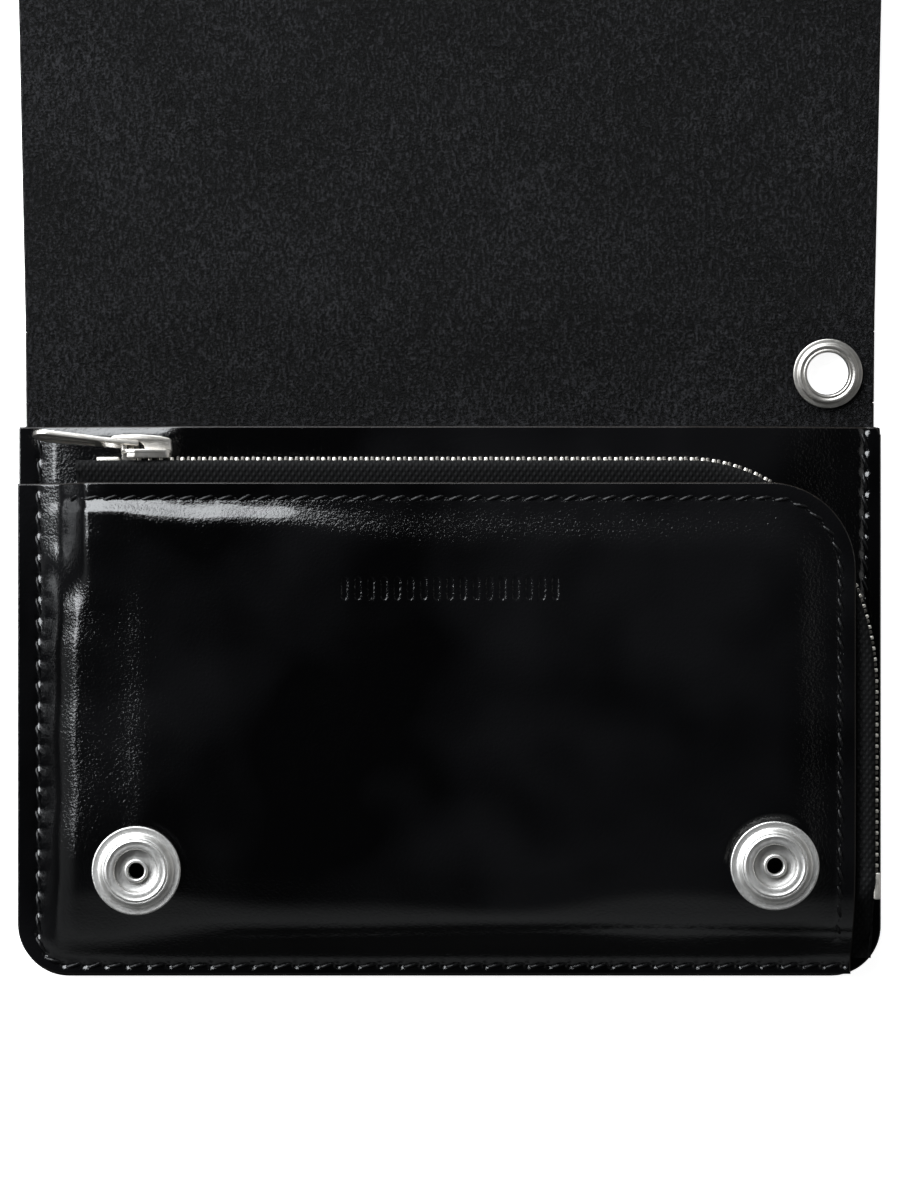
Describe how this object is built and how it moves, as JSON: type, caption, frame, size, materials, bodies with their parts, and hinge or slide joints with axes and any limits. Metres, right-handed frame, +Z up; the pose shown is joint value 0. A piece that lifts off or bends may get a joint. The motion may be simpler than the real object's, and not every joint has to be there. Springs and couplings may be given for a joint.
{
  "type": "chain wallet",
  "caption": "Black leather chain wallet lying open: note pocket, zipped coin pouch, snap sockets, a flap that folds over a spine, and a metal eyelet for a chain.",
  "frame": {"origin": "under the middle of the open wallet, on the surface it lies on", "axes": "+X across the wallet to the eyelet's side, +Y from the pouch end to the flap end, +Z up, the way the pouch front faces"},
  "size_m": [0.15, 0.2106, 0.0187],
  "materials": {
    "glossy_leather": "glossy, fine grain",
    "inner_leather": "matte",
    "zip_tape": "twill woven",
    "zip_metal": "bright nickel",
    "nickel": "brushed nickel plate",
    "spring_steel": "plain"
  },
  "bodies": {
    "body": {"cover_back": "glossy_leather", "bill_pocket_panel": "glossy_leather", "coin_pouch_back": "inner_leather", "coin_pouch_front": "glossy_leather", "zip_tape_front": "zip_tape", "zip_tape_back": "zip_tape", "zip_teeth_front": "zip_metal", "zip_teeth_back": "zip_metal", "zip_top_stop_front": "zip_metal", "zip_top_stop_back": "zip_metal", "zip_bottom_stop": "zip_metal", "snap_socket_left": "nickel", "snap_socket_right": "nickel", "snap_post_left": "nickel", "snap_post_right": "nickel", "snap_spring_left": "spring_steel", "snap_spring_right": "spring_steel"},
    "spine": {"cover_spine": "glossy_leather", "chain_eyelet": "nickel", "eyelet_washer": "nickel"},
    "flap": {"cover_flap": "glossy_leather", "flap_stud_left": "nickel", "flap_stud_right": "nickel", "flap_cap_left": "nickel", "flap_cap_right": "nickel"},
    "zip_slider": {"zip_slider_body": "nickel"},
    "pull_tab": {"zip_pull_tab": "nickel"}
  },
  "joints": [
    {"name": "spine_fold", "type": "hinge", "parent": "body", "child": "spine", "pos_m": [0, -0.00847, 0.0015], "axis": [1, 0, 0], "range_deg": [0, 85]},
    {"name": "flap_fold", "type": "hinge", "parent": "spine", "child": "flap", "pos_m": [0, 0.00976, 0.0031], "axis": [1, 0, 0], "range_deg": [0, 94.2]},
    {"name": "slider_slide", "type": "slide", "parent": "body", "child": "zip_slider", "axis": [1, 0, 0], "range_m": [0, 0.088]},
    {"name": "pull_swing", "type": "hinge", "parent": "zip_slider", "child": "pull_tab", "pos_m": [-0.0539, -0.01329, 0.012], "axis": [0, 0, -1], "range_deg": [-3, 170]}
  ],
  "couplings": [
    {"joint": "flap_fold", "follows": "spine_fold", "ratio": 1.1082}
  ]
}
